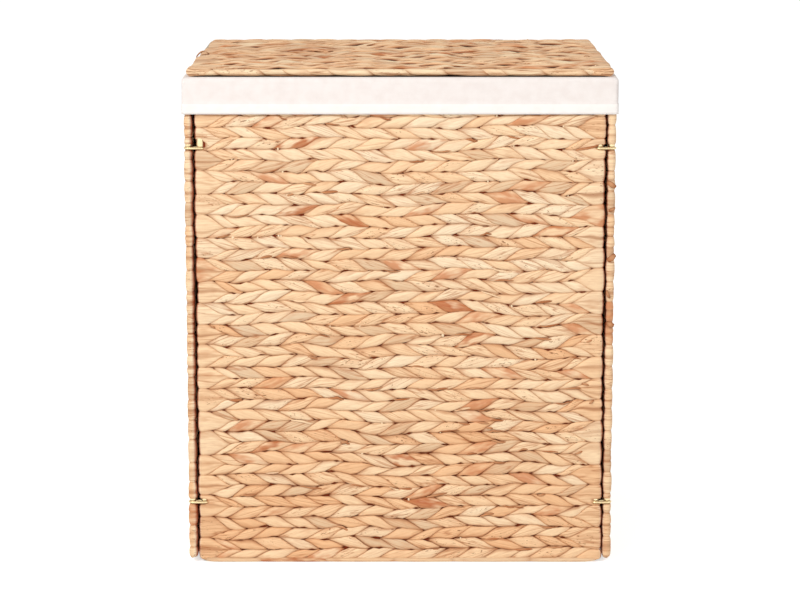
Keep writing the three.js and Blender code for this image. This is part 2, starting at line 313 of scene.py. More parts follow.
def slivers(patches, rng, lines, ends, count, hole):
    """Narrow torn strips, mostly red-brown, that lie along the strands near the row lines."""
    rows, marks = ends.shape
    t = np.linspace(-1, 1, 5)
    share = np.linspace(0, 1, 9)[:, None]
    for _ in range(count):
        row = rng.integers(1, rows)
        x0 = ends[row, rng.integers(1, marks - 1)] + rng.uniform(-14, 6)
        length = rng.uniform(12, 26)
        wide = rng.uniform(0.6, 1.7)
        x = x0 + length * share
        up = 1 if row % 2 == 0 else -1
        y = lines.at(row, x, 1) + up * rng.uniform(0.2, 0.9) + up * (share - 0.2) * rng.uniform(0.5, 4.5)
        ys = y + wide * np.sin(math.pi * (0.05 + 0.9 * share)) ** 0.6 * t
        n = 3.3 + 1.25 * np.sin(math.pi * share) ** 0.7 + 0.45 * np.cos(t * QUARTER)
        if hole and np.any(from_hole(x, ys - hole) < HOLE_LOOP + 7):
            continue
        red = rng.uniform() < 0.86
        kind = rng.uniform(0.945, 0.98) if red else rng.uniform(0.1, 0.8)
        tone = rng.uniform(0.0, 0.35) if red else rng.uniform(0.4, 0.7)
        # painted shade at the strip's sides; the red strips are red brown all along
        edge = np.abs(t) ** 3 * 0.8
        if red:
            edge = np.maximum(edge, rng.uniform(0.55, 0.85) * (0.6 + 0.4 * share))
        patches.add(sheet(x, ys, n), sheet(x / 1000, (ys - y.mean()) / 1000, rng.uniform()), sheet(tone, edge, kind))


def round_hole(points, centre):
    """Leaves that reach into the hand hole end under its wrapped rim; also says which points are kept."""
    if centre is None:
        return points, None
    reach = HOLE_LOOP + 1.5
    x, y, n = np.moveaxis(points, -1, 0)
    y = y - centre
    near = np.clip(x, -HOLE_STRAIGHT, HOLE_STRAIGHT)
    far = np.hypot(x - near, y)
    inside = far < reach
    push = np.where(inside, reach / np.maximum(far, 0.5), 1)
    return sheet(near + (x - near) * push, centre + y * push, np.where(inside, n * 0.6, n)), ~inside


# where painted red-brown shade falls on the side of a turn that faces the slot between two panels: from how far round,
# and over how much
SLOT_SHADE_TURN = {"broad": (0.06, 0.86), "inside": (0.7, 0.3)}
TURN_ACROSS = 19


def end_turns(patches, rng, lines, ends, end, width, gaps, reach, shaded_side, pale):
    """The broad turns of the strands round a panel's end rod, two rows high where the rows pair."""
    rows = ends.shape[0]
    own = rng.uniform(0, 6.3, 2)
    start = 0 if end < 0 else 1
    spans = [(0, 1)] if start else []
    spans += [(k, k + 2) for k in range(start, rows - 1, 2)]
    if spans[-1][1] < rows:
        spans.append((rows - 1, rows))
    rod = width / 2 - ROUND
    column = 0 if end < 0 else -1
    t = np.linspace(-1, 1, TURN_ACROSS)
    ridge = np.cos(t * QUARTER)
    for low, high in spans:
        paired = high - low == 2
        under = abs(ends[low, column])
        over = abs(ends[high - 1, column])
        tip = min(under, over) - LEAF_SKEW + 1.5
        flat = np.linspace(tip, rod, 10)
        xs = np.concatenate([flat, np.full(6, rod), flat[::-2]])[:, None]
        bend = np.concatenate([np.full(10, 90.0), np.linspace(90, -90, 8)[1:-1], np.full(5, -90.0)])
        bend = np.radians(bend)[:, None]
        y0, y1, y2 = (lines.at(line, end * xs, 0) for line in (low, low + 1, high))
        if not paired and (low % 2 == 0) != (end < 0):
            y1 = y0
        top = y2 - (y2 - y1) * eased((over + LEAF_SKEW - xs) / (2 * LEAF_SKEW))
        bottom = y0 + (y1 - y0) * eased((under + LEAF_SKEW - xs) / (2 * LEAF_SKEW))
        y = (top + bottom) / 2 + ((top - bottom) / 2 + 0.4) * np.sin(t * QUARTER)
        swell = (1 + rng.normal(0, 0.08)) * (0.15 + 0.85 * share_of((xs - tip) / 12) ** 0.7)
        # the strand is pinched where it turns, so a groove shows between its two runs
        groove = 0 * t
        if paired and rng.uniform() < 0.6:
            groove = groove + rng.uniform(0.7, 1.3) * dent(t, rng.uniform(-0.1, 0.1), 0.07)
        for size, limit in ((0.9, 0.4), (0.7, 0.65), (0.4, 0.75)):
            groove_at = rng.uniform(-limit, limit)
            groove = groove + size * rng.uniform(0.1, 1) * dent(t, groove_at, rng.uniform(0.06, 0.14)) * paired
        base = CREASE + 0.3 + 0.4 * share_of((xs - rod + 10) / 8)
        crest = CREASE + 0.3 + BULGE * 0.88 * swell * rng.uniform(0.8, 1.12)
        radius = base + np.maximum(crest - base, 0.1) * ridge ** 0.8
        along = np.linspace(0, 1, len(xs))[:, None]
        uneven = 0.6 + 0.4 * np.sin(along * rng.uniform(6, 14) + rng.uniform(0, 6))
        radius = radius - groove * share_of(swell) * uneven
        free = np.ones_like(y, bool)
        near_end = xs > rod - GAP_DEPTH
        open_by = np.sqrt(share_of(1 - share_of((rod - xs) / GAP_DEPTH) ** 2))
        for under_gap, over_gap in gaps:
            mid = (under_gap + over_gap) / 2
            over_gap = mid + (over_gap - mid) * open_by
            under_gap = mid + (under_gap - mid) * open_by
            inside = near_end & (y > under_gap) & (y < over_gap)
            away = np.where(y > mid, y - over_gap, under_gap - y)
            roll = np.sqrt(share_of(1 - (1 - share_of(away / 3.2)) ** 2))
            radius = np.where(near_end, GAP_FLOOR + (radius - GAP_FLOOR) * roll, radius)
            y = np.where(inside, np.where(y > mid, over_gap, under_gap), y)
            free &= ~inside
        # the turns reach out unevenly, most of all near the panel's ends
        place = (y0[0, 0] + y2[0, 0]) / 2 / lines.base[-1]
        slow = 0.14 * math.sin(place * 19 + own[0]) + 0.1 * math.sin(place * 43 + own[1])
        own_reach = 0.62 + 0.3 * abs(2 * place - 1) ** 1.3 + slow + np.clip(rng.normal(0, 0.12), -0.25, 0.25)
        out = reach * min(1, own_reach) * ridge ** 0.3 * share_of((xs - rod + 8) / 8)
        x = xs + np.minimum(radius, TURN_LIMIT) * np.cos(bend) + out
        n = radius * np.sin(bend)
        steps = np.hypot(*(np.diff(part[:, TURN_ACROSS // 2]) for part in (x, n)))
        run = np.concatenate([[0], np.cumsum(steps)])[:, None]
        strand = sheet(run / 1000, y / 1000 - y.mean() / 1000, rng.uniform())
        # painted shade where the turn dives into the weave, at its inner tip and in its grooves
        edge = np.maximum(share_of((DEEP_FROM - radius) / DEEP_OVER), share_of(1 - (xs - tip) / 9) * 0.42)
        edge = np.maximum(edge, np.minimum(0.5 * groove, 0.6))
        # a tone over 1 paints red-brown shade on a turn's side that faces the narrow slot between two panels
        slot = 0
        if shaded_side == "tip":
            slot = share_of((np.cos(bend) - 0.5) / 0.35)
        elif shaded_side in SLOT_SHADE_TURN:
            turned, over_turn = SLOT_SHADE_TURN[shaded_side]
            slot = share_of((-np.sin(bend) - turned) / over_turn) * (xs > rod - 10)
        # painted light: the turns are paler towards the panel's top
        tone = share_of(rng.normal(0.47, 0.19) + pale * (2 * place - 1))
        tint = sheet(tone + (2 - tone) * slot, edge, rng.uniform(0.0, 0.96))
        patches.add(sheet(end * x, y, n), strand, tint, end > 0, free)


def border(patches, rng, width, height, at_top, lay, wound):
    """The strands laid along the first or last edge of a panel: long ones, or short ones wound over the edge."""
    x = -width / 2 + 1.5
    t = np.linspace(-1, 1, 17 if wound else 9)
    angle = np.radians(EDGE_REACH * t)
    facing = np.cos(angle)
    ridge = np.cos(t * QUARTER)
    limit = np.where(facing > 0.05, ROD_INSET / np.maximum(facing, 0.05), 9)
    share = np.linspace(0, 1, 15 if wound else 10)[:, None]
    if wound:
        share = 0.5 - 0.5 * np.cos(math.pi * share)
    to_end = np.abs(2 * share - 1)
    while x < width / 2 - 2:
        length = min(rng.uniform(*lay), width / 2 - 1.5 - x + 8)
        arch = np.sin(math.pi * share) ** (0.6 if wound else 0.4)
        shift = -WOUND_TWIST * t if wound else LAID_TWIST * t * rng.choice([-1, 1])
        xs = x - 8 + share * (length + (6 if wound else 10)) + shift * 0.6
        xs = np.clip(xs, -width / 2 + 0.8, width / 2 - 0.8)
        girth = rng.uniform(0.9, 1.1)
        if wound:
            # each short strand has its own girth
            slant = 1 + rng.uniform(-0.3, 0.6) * (share - 0.5)
            radius = 3.0 + (0.1 + 0.9 * arch) * slant * rng.uniform(0.9, 1.75) * ridge ** 0.22
            # here and there the edge stands a little off what lies below it
            off = share_of(np.sin(xs / 37 + 1.1) * np.sin(xs / 83 + 0.4) - 0.1) * share_of(-t) ** 0.5
            radius = radius * (1 - 0.45 * off)
            at, drift, deep = (draw[:, None, None] for draw in (
                rng.uniform(-0.5, 0.8, 3), rng.normal(0, 0.25, 3), rng.uniform(0.2, 0.75, 3)))
            split = (deep * dent(t, at + drift * (share - 0.5), 0.075)).max(0) * arch ** 2
            # the edge lies lower than the first row behind it
            radius = (radius - 0.5 * split) * (1 - 0.2 * share_of((t - 0.2) / 0.3))
            # painted shade at the wound strand's sides, at its ends, most on the lower side, and in its splits
            ends_dark = 0.8 * share_of((to_end - 0.7) / 0.16) ** 1.5 * (0.45 + 0.75 * share_of(0.5 - t))
            edge = 0.9 * np.maximum(np.maximum(np.abs(t) ** 2.2, ends_dark), 1.25 * split)
        else:
            radius = 3.9 + (0.35 + 0.65 * arch) * 0.85 * girth * ridge ** 0.7
            # painted shade at the laid strand's sides and ends
            edge = 0.6 * np.maximum(np.abs(t) ** 4, to_end ** 8)
        closing = share_of((np.abs(xs) - (width / 2 - 5)) / 4.2)
        radius = np.minimum(radius, limit) * np.sqrt(1 - 0.98 * closing ** 2)
        y = ROD_INSET - radius * facing
        if at_top:
            y = height - y
        strand = sheet(xs / 1000, angle * ANGLE_TO_METRES, rng.uniform())
        tone = share_of(rng.normal(0.9 if wound else 0.6, 0.16))
        tint = sheet(tone, edge, rng.uniform(0.03, 0.9 if wound else 1))
        patches.add(sheet(xs, y, radius * np.sin(angle)), strand, tint, at_top)
        x += length


def curl(patches, start, reach, rise, wide, dark=0.0):
    """One strand end that has sprung out of the weave in a small loop."""
    share = np.linspace(0, 1, 12)[:, None]
    t = np.linspace(-1, 1, 5)
    x = start[0] + reach[0] * share
    y = start[1] + reach[1] * share
    z = start[2] + rise * np.sin(math.pi * share) ** 0.8
    across = np.array([-reach[1], reach[0]]) / math.hypot(*reach)
    half = wide * (0.6 + 0.4 * np.sin(math.pi * share)) * t
    edge = 0.45 + 0.3 * np.abs(2 * share - 1) ** 3 + dark * t ** 4
    for lift, turned in ((0.7 * (1 - t ** 2), False), (-0.7, True)):
        points = sheet(x + across[0] * half, y + across[1] * half, z + lift)
        patches.add(points, sheet(share / 60, t / 400, 0.7), sheet(0.2, edge, 0.97), turned)


def corner_turn(patches, side, width, tone):
    """A strand that runs along a front edge, turns round its corner and dies out along the side."""
    inset = 4.5
    run = np.concatenate([np.linspace(-24, -1, 9), np.zeros(7), np.linspace(1, 15, 6)])[:, None]
    turn = np.concatenate([np.zeros(9), np.linspace(0, 90, 9)[1:-1], np.full(6, 90)])
    turn = np.radians(turn)[:, None]
    share = np.linspace(0, 1, len(run))[:, None]
    t = np.linspace(-1, 1, 19)
    angle = np.radians(100 * t)
    thick = 0.62 + 0.38 * np.sin(math.pi * share) ** 0.6
    out = (inset + 0.7) * thick * np.cos(angle)
    x = width / 2 - inset + np.minimum(run, 0) + out * np.sin(turn)
    y = inset + np.maximum(run, 0) - out * np.cos(turn)
    n = 4.8 * thick * np.sin(angle)
    steps = np.hypot(np.diff(run, axis=0, prepend=run[:1]), np.diff(turn, axis=0, prepend=0) * inset)
    # painted shade at the strand's sides and ends, and along three thin lines
    edge = np.maximum(0.85 * np.abs(t) ** 4, 0.9 * np.abs(2 * share - 1) ** 7)
    for at, drift in ((-0.45, 0.3), (0.1, -0.2), (0.5, 0.25)):
        line = dent(t, at + drift * (share - 0.5), 0.09)
        edge = np.maximum(edge, 0.85 * line * np.sin(math.pi * share) ** 0.5)
    strand = sheet(np.cumsum(steps)[:, None] / 1000, angle * ANGLE_TO_METRES, 0.2)
    patches.add(sheet(side * x, y, n), strand, sheet(tone, edge, 0.5), side < 0)


def core(patches, width, height, hole):
    """The strands in the middle of the panel, seen only through gaps, painted in dark shade."""
    x = np.linspace(-width / 2 + 3, width / 2 - 3, 40)[:, None]
    y = np.linspace(3, height - 3, 48)
    for side in (1, -1):
        points, keep = round_hole(sheet(x, y, side * CORE_DEPTH), hole)
        # an edge of 2 paints the core in dark shade
        patches.add(points, np.zeros(3), np.array((0.0, 2.0, 0.0)), side < 0, keep)


def stubs(patches, rng, lines, ends, count):
    """Short pale ends of stakes that show between rows."""
    rows, marks = ends.shape
    a = np.linspace(-1, 1, 5)
    n = 2.9 + 1.0 * np.cos(a * QUARTER) * np.cos(a * 1.2)[:, None]
    for _ in range(count):
        # of a few places, the one where the rows part the most
        row = rng.integers(1, rows, 7)
        x = ends[row, rng.integers(0, marks, 7)] + rng.uniform(-6, 6, 7)
        above, below = lines.at(row, x, 1), lines.at(row, x, -1)
        best = np.argmax(above - below)
        wide = rng.uniform(0.6, 1.1) if rng.uniform() < 0.7 else rng.uniform(1.0, 1.6)
        tall = wide * rng.uniform(1.0, 1.9)
        xs = x[best] + wide * np.sin(a * QUARTER)
        ys = (above + below)[best] / 2 + tall * a[:, None]
        patches.add(sheet(xs, ys, n), sheet(ys / 1000, xs / 1000, 0.3), np.array((1.0, 0.0, 0.5)), True)


def rounded_corners(width, height, seed, hole):
    """Draws a panel's corners in, closes its ends over and lets its rows sway."""
    def shape(points):
        x, y, n = points.T.copy()
        near = np.minimum(y, height - y)
        inner = np.clip(PANEL_CORNER - near, 0, PANEL_CORNER)
        drop = PANEL_CORNER - np.sqrt(np.maximum(PANEL_CORNER ** 2 - inner ** 2, 0))
        x = x - np.sign(x) * drop * share_of((np.abs(x) - (width / 2 - 26)) / 22)
        # the last strands close the panel's end over, so it isn't open where it is cut
        closed = 0.35 + 0.65 * np.sqrt(share_of(1 - (1 - share_of(near / 4.5)) ** 2))
        n = n * (1 + (closed - 1) * share_of((np.abs(x) - (width / 2 - 15)) / 4))
        # the rows sway a little up and down across the panel
        sway = 1.25 * np.sin(x / 31 + 1.3 * np.sin(y / 83 + seed) + seed)
        sway = sway + 0.95 * np.sin(x / 15.5 + y / 47 + 2 * seed) + 0.8 * np.sin(x / 58 - y / 60)
        fade = share_of(near / 22) * share_of((width / 2 - 14 - np.abs(x)) / 30)
        if hole:
            fade = fade * share_of((from_hole(x, y - hole) - HOLE_LOOP - 4) / 20)
        return np.stack([x, y + sway * fade, n], 1)
    return shape


def panel(name, width, height, place, seed, inner_detail, gaps=((), ()), hole=None, lay=(55, 95), crown=None, stub=34,
          torn=80, loose=1.0, wound=False, extras=None, reach=(0.0, 0.0), shaded_side="none", pale=0.0):
    """A woven panel as one piece of many strands, in its place."""
    rng = np.random.default_rng(seed)
    rows = round((height - 2 * BORDER) / ROW_PITCH)
    patches = Patches()
    lines = Lines(rng, rows + 1, BORDER, (height - 2 * BORDER) / rows)
    ends = row_ends(rng, width, rows)
    face_leaves(patches, rng, lines, ends, 1, 11, 8, hole, loose, pale)
    face_leaves(patches, rng, lines, ends, -1, *inner_detail, hole, 1.0, pale)
    for end in (-1, 1):
        end_turns(patches, rng, lines, ends, end, width, gaps[end > 0], reach[end > 0], shaded_side, pale)
    for at_top in (False, True):
        border(patches, rng, width, height, at_top, lay, wound)
    core(patches, width, height, hole)
    stubs(patches, rng, lines, ends, 0 if hole else stub)
    slivers(patches, rng, lines, ends, torn, hole)
    if extras:
        extras(patches)
    corners = rounded_corners(width, height, seed, hole)
    return patches.done(name, place, lambda points: crown(corners(points)) if crown else corners(points))


# ---------------------------------------------------------------- shared shading

def srgb(r, g, b):
    """A colour read off with values of 0 to 255, as the renderer's linear colour."""
    shares = (r / 255, g / 255, b / 255)
    return tuple(v / 12.92 if v <= 0.04045 else ((v + 0.055) / 1.055) ** 2.4 for v in shares) + (1.0,)


class Tree:
    """Short ways to add and join nodes."""

    def __init__(self, tree):
        self.tree = tree

    def node(self, kind, **settings):
        made = self.tree.nodes.new("ShaderNode" + kind)
        for name, value in settings.items():
            setattr(made, name, value)
        return made

    def put(self, value, socket):
        """Joins a socket to another node's output, or gives it a constant."""
        if isinstance(value, bpy.types.NodeSocket):
            self.tree.links.new(value, socket)
        elif value is not None:
            socket.default_value = value

    def named(self, kind, given, **settings):
        """A node with its named sockets filled."""
        made = self.node(kind, **settings)
        for name, value in given.items():
            self.put(value, made.inputs[name])
        return made

    def maths(self, operation, a, b=None, c=None, clamp=False):
        made = self.node("Math", operation=operation, use_clamp=clamp)
        for socket, value in zip(made.inputs, (a, b, c)):
            self.put(value, socket)
        return made.outputs[0]

    def times(self, a, b):
        return self.maths("MULTIPLY", a, b)

    def plus(self, a, b):
        return self.maths("ADD", a, b)

    def mix(self, share, a, b, blend="MIX"):
        made = self.node("Mix", data_type="RGBA", blend_type=blend)
        for index, value in ((0, share), (6, a), (7, b)):
            self.put(value, made.inputs[index])
        return made.outputs[2]

    def spread(self, value, low, high):
        """The share of the way from low to high, between 0 and 1."""
        return self.named("MapRange", {"Value": value, "From Min": low, "From Max": high}).outputs[0]

    def noise(self, place, scale, detail, roughness=0.5):
        given = {"Vector": place, "Scale": scale, "Detail": detail, "Roughness": roughness}
        return self.named("TexNoise", given).outputs["Fac"]

    def bump(self, height, strength, distance):
        return self.named("Bump", {"Height": height, "Strength": strength, "Distance": distance}).outputs[0]

    def parts(self, vector):
        return self.named("SeparateXYZ", {"Vector": vector}).outputs

    def fact(self, name):
        return self.node("Attribute", attribute_name=name).outputs["Vector"]

    def use(self, tree, given):
        """Places a shared effect in this material with its own values."""
        return self.named("Group", given, node_tree=tree).outputs

    def seen_directly(self):
        """1 for what the camera sees, also in a gloss or through something clear, and 0 for what only sheds light."""
        path = self.node("LightPath").outputs
        seen = self.maths("MAXIMUM", path["Is Camera Ray"], path["Is Glossy Ray"])
        return self.maths("MAXIMUM", seen, path["Is Transmission Ray"])


def group(name, takes, gives):
    tree = bpy.data.node_groups.new(name, "ShaderNodeTree")
    for label, kind in takes:
        tree.interface.new_socket(label, in_out="INPUT", socket_type="NodeSocket" + kind)
    for label in gives:
        tree.interface.new_socket(label, in_out="OUTPUT", socket_type="NodeSocketFloat")
    return tree, Tree(tree), tree.nodes.new("NodeGroupInput").outputs, tree.nodes.new("NodeGroupOutput").inputs


def make_fibre_group():
    """Fine lengthwise fibres and broad stains of a dried flat strand."""
    tree, t, into, out = group("dried_strand_fibres", [("Place", "Vector"), ("Fibres per metre", "Float")],
                               ["Fibre", "Stain", "Blotch", "Fold", "Crack", "Height"])
    x, y, z = t.parts(into["Place"])
    seed = t.times(z, 91.0)

    def streaks(along, across, detail):
        place = t.named("CombineXYZ", {"X": t.times(x, along), "Y": t.times(y, across), "Z": seed})
        return t.noise(place.outputs[0], 1.0, detail, 0.6)

    wide = streaks(45.0, into["Fibres per metre"], 3.0)
    fine = streaks(110.0, t.times(into["Fibres per metre"], 3.2), 2.0)
    both = t.plus(t.times(wide, 0.6), t.times(fine, 0.4))
    stain = streaks(38.0, 120.0, 2.0)
    # the cracks are short and dark, in the leaf's skin; the folds are thin lines where it has been folded lengthwise
    for label, value, low, high in (("Fibre", both, 0.37, 0.63), ("Stain", stain, 0.56, 0.78),
                                    ("Blotch", stain, 0.4, 0.6), ("Crack", streaks(240.0, 820.0, 1.0), 0.63, 0.69)):
        t.put(t.spread(value, low, high), out[label])
    line = t.maths("ABSOLUTE", t.maths("SUBTRACT", streaks(12.0, 190.0, 1.0), 0.5))
    t.put(t.maths("SUBTRACT", 1.0, t.maths("DIVIDE", line, 0.03), clamp=True), out["Fold"])
    t.put(both, out["Height"])
    return tree


def make_grain_group():
    """A fine uneven grain for wire and cloth, from the object's own space."""
    tree, t, into, out = group("fine_grain", [("Scale", "Float")], ["Grain", "Cloud"])
    space = t.node("TexCoord").outputs["Object"]
    t.put(t.noise(space, into["Scale"], 3.0), out["Grain"])
    t.put(t.noise(space, t.times(into["Scale"], 0.2), 2.0), out["Cloud"])
    return tree


FIBRES = make_fibre_group()
GRAIN = make_grain_group()


def material(name):
    made = bpy.data.materials.new(name)
    made.use_nodes = True
    return made, Tree(made.node_tree), made.node_tree.nodes["Principled BSDF"].inputs


def strand_material(name, dark, mid, light, grey=0.08):
    """Dried leaf strands: each has its own tone, with fibres along it and painted brown shade in the creases at its
    edges.
    """
    made, t, inputs = material(name)
    tone, edge, kind = t.parts(t.fact("tint"))
    fibres = t.use(FIBRES, {"Place": t.fact("strand"), "Fibres per metre": 620.0})
    fibre, blotch = fibres["Fibre"], fibres["Blotch"]
    ramp = t.node("ValToRGB")
    ramp.color_ramp.elements[0].color = srgb(*dark)
    ramp.color_ramp.elements[1].color = srgb(*light)
    ramp.color_ramp.elements.new(0.5).color = srgb(*mid)
    t.put(tone, ramp.inputs[0])
    reddish = t.times(t.maths("GREATER_THAN", kind, 0.915), t.plus(0.1, t.times(blotch, 0.72)))
    # grey leaves; the lid's larger share of them also paints the grey shade between its rows
    greyish = t.times(t.maths("LESS_THAN", kind, grey), 0.6)
    burnt = t.times(t.times(t.maths("GREATER_THAN", kind, 0.978), blotch), 0.8)
    dark_fibre = t.times(t.maths("SUBTRACT", 1.0, fibre), 0.52)
    folded = t.times(t.times(t.maths("LESS_THAN", kind, 0.5), fibres["Fold"]), 0.62)
    cracked = t.times(t.maths("COMPARE", kind, 0.44, 0.16), fibres["Crack"])
    cracked = t.times(cracked, t.times(blotch, 0.85))
    # painted shade: warm brown round creases and ends, dark brown in them, red brown in the slots between panels,
    # darker still on the core
    warm_shade = t.times(t.maths("MINIMUM", t.times(edge, 1.5), 1.0), 0.56)
    crease = t.times(t.maths("POWER", t.maths("MINIMUM", edge, 1.0), 1.7), 0.96)
    slot_shade = t.times(t.maths("SUBTRACT", tone, 1.0, clamp=True), 0.9)
    core_shade = t.maths("GREATER_THAN", edge, 1.5)
    colour = ramp.outputs[0]
    for share, over, blend in (
            (reddish, (204, 124, 82), "MIX"), (greyish, (214, 190, 160), "MIX"), (burnt, (172, 82, 38), "MIX"),
            (t.times(fibre, 0.3), (255, 232, 200), "MULTIPLY"), (dark_fibre, (216, 160, 110), "MIX"),
            (t.times(fibres["Stain"], 0.5), (206, 144, 100), "MIX"), (folded, (176, 102, 56), "MIX"),
            (cracked, (140, 84, 46), "MIX"), (warm_shade, (205, 127, 68), "MIX"), (crease, (98, 34, 2), "MIX"),
            (slot_shade, (158, 60, 6), "MIX"), (core_shade, (124, 44, 8), "MIX")):
        colour = t.mix(share, colour, srgb(*over), blend)
    t.put(colour, inputs["Base Color"])
    t.put(t.plus(0.54, t.times(fibre, 0.16)), inputs["Roughness"])
    t.put(0.2, inputs["Specular IOR Level"])
    t.put(t.bump(fibres["Height"], 0.5, 0.0009), inputs["Normal"])
    return made


def wire_material(name, bright, dull, rough):
    made, t, inputs = material(name)
    grain = t.use(GRAIN, {"Scale": 900.0})
    t.put(t.mix(grain["Cloud"], srgb(*bright), srgb(*dull)), inputs["Base Color"])
    t.put(t.plus(rough, t.times(grain["Grain"], 0.2)), inputs["Roughness"])
    t.put(1.0, inputs["Metallic"])
    return made


def cloth_material(name, plain, shaded):
    """Plain off-white cotton with a fine thread grid."""
    made, t, inputs = material(name)
    grain = t.use(GRAIN, {"Scale": 420.0})
    thread = t.fact("thread")
    along, across, _ = t.parts(thread)
    threads = t.times(*(t.maths("SINE", t.times(run, 5200.0)) for run in (along, across)))
    stretched = t.node("VectorMath", operation="MULTIPLY")
    t.put(thread, stretched.inputs[0])
    t.put((60.0, 900.0, 1.0), stretched.inputs[1])
    slub = t.noise(stretched.outputs[0], 1.0, 2.0)
    patchy = t.spread(grain["Cloud"], 0.35, 0.65)
    colour = t.mix(t.times(patchy, 0.6), srgb(*plain), srgb(*shaded))
    t.put(t.mix(t.times(slub, 0.25), colour, srgb(*shaded)), inputs["Base Color"])
    t.put(t.plus(0.78, t.times(grain["Grain"], 0.15)), inputs["Roughness"])
    t.put(0.2, inputs["Specular IOR Level"])
    t.put(0.15, inputs["Sheen Weight"])
    t.put(t.bump(t.plus(t.times(threads, 0.35), grain["Grain"]), 0.25, 0.0004), inputs["Normal"])
    return made


wall_strands = strand_material("wall_strands", (245, 200, 156), (255, 228, 190), (255, 240, 210))
# the lid's larger grey share also paints the grey shade between its rows
lid_strands = strand_material("lid_strands", (233, 190, 150), (253, 219, 179), (255, 239, 205), 0.2)
ring_metal = wire_material("pale_brass_wire", (236, 218, 176), (206, 180, 132), 0.2)
sleeve_metal = wire_material("pale_rod_sleeve", (244, 228, 190), (222, 198, 152), 0.34)
rod_metal = wire_material("dull_rod_wire", (190, 170, 138), (150, 130, 102), 0.38)
cotton = cloth_material("liner_cotton", (243, 235, 230), (235, 224, 218))
hem_cotton = cloth_material("hem_cotton", (251, 246, 241), (246, 238, 231))


# ---------------------------------------------------------------- woven panels

front_low, front_high = box_mm("front_weave")
side_low, side_high = box_mm("right_weave")
lid_low, lid_high = box_mm("lid_weave")
base_low, base_high = box_mm("base_weave")
front_y = -(front_low[1] + front_high[1]) / 2
side_x = (side_low[0] + side_high[0]) / 2
ring_heights = [float(sum(box_mm("ring_front_left_" + end))[2]) / 2 for end in ("low", "high")]
hole_height = float(sum(box_mm("right_grip"))[2]) / 2 - SIDE_LIFT
front_width, _, front_height = front_high - front_low
side_width = side_high[1] - side_low[1]
side_height = side_high[2] - SIDE_LIFT
lid_width, lid_depth, _ = lid_high - lid_low
# how far an end rod shows under and over a linking ring
NARROW_GAP = (1.8, 3.4)
WIDE_GAP = (1.8, 9.0)


def ring_gaps(lift, high_gap=NARROW_GAP):
    """Where an end rod shows between its strands, at each linking ring."""
    return tuple((z - lift - under, z - lift + over)
                 for z, (under, over) in zip(ring_heights, (NARROW_GAP, high_gap)))


def placing(across, up, out, start):
    """Turns a panel's own x, y, n along three directions of the hamper, from where the panel starts."""
    axes = np.array((across, up, out), float)
    return lambda points: points @ axes + start


place_front = placing((1, 0, 0), (0, 0, 1), (0, -1, 0), (0, -front_y, 0))
place_back = placing((-1, 0, 0), (0, 0, 1), (0, 1, 0), (0, front_y, 0))
place_left = placing((0, -1, 0), (0, 0, 1), (-1, 0, 0), (-side_x, 0, SIDE_LIFT))
place_right = placing((0, 1, 0), (0, 0, 1), (1, 0, 0), (side_x, 0, SIDE_LIFT))
place_lid = placing((1, 0, 0), (0, 1, 0), (0, 0, 1), (0, lid_low[1], (lid_low[2] + lid_high[2]) / 2))
place_base = placing((1, 0, 0), (0, 1, 0), (0, 0, 1), (0, base_low[1], (base_low[2] + base_high[2]) / 2))


def lid_crown(points):
    """The lid's upper side stands proud in its middle and wavers along its rows; it draws in a little to its back."""
    x, y, n = points.T
    outward, back = x / (lid_width / 2), y / lid_depth
    from_hinge = eased((lid_depth - y - 24) / 80)
    rise = 5.4 * (1 - outward ** 2) * (0.01 + 0.99 * np.sin(share_of(back) * 1.9)) * from_hinge
    rows = 0.9 * np.sin(x / 23 + 3 * np.sin(y / 31)) + 0.8 * np.sin(x / 51 + y / 17)
    rise = rise + rows * np.clip(back * 5, 0.05, 1) * np.clip(from_hinge * 1.2, 0.04, 1)
    drawn_in = np.where(x < 0, -4.5, 1.5) * np.abs(outward) * share_of(back)
    return np.stack([x - drawn_in, y, n + np.clip((n + 1.5) / 3, 0.06, 1) * rise], 1)


def lid_extras(patches):
    """The sprung strand on the lid's left edge, a smaller one, and the wound front corners."""
    curl(patches, (-lid_width / 2 - 2.2, lid_depth * 0.44, 2.6), (15, 5), 5.6, 3.0)
    curl(patches, (lid_width / 2 - 26, lid_depth * 0.3, 3.9), (9, 3), 2.4, 1.3)
    for side, tone in ((-1, 0.75), (1, 0.5)):
        corner_turn(patches, side, lid_width, tone)


def front_extras(patches):
    """Small ends that have sprung out of the front, most of them at its right edge."""
    for x, y, reach in ((198, 243, (8, 3)), (194, 199, (9, -3)), (188, 121, (9, 3)), (203, 176, (5, 4)),
                        (-203, 262, (6, -3)), (-64, 131, (8, 3)), (92, 150, (8, -2)), (-120, 402, (8, 2)),
                        (148, 72, (9, 2))):
        curl(patches, (x, y, 3.4), reach, 1.9, 1.15)


class OnTip:
    """Takes patches that lie flat on a panel's face, and lays them on the tip of its left end instead."""

    def __init__(self, patches, tip):
        self.patches, self.tip = patches, tip

    def add(self, points, strand, tint, flip=False):
        n, y, out = np.moveaxis(points, -1, 0)
        self.patches.add(sheet(self.tip - out, y, n), strand, tint, flip)


def right_extras(patches):
    """Browned ends that have sprung out of the right wall's front end."""
    tip = OnTip(patches, -side_width / 2)
    for n, y, reach, wide in ((-4.4, 414, (8.8, -6), 2.8), (4.8, 336, (-8, -7), 3.0), (-3.4, 262, (8, -3), 2.8),
                              (-4, 297, (3, -8), 1.5), (4.2, 386, (-7, -3), 1.6)):
        curl(tip, (n, y, 0.1), reach, 1.7 * wide ** 0.5, wide, 0.3)


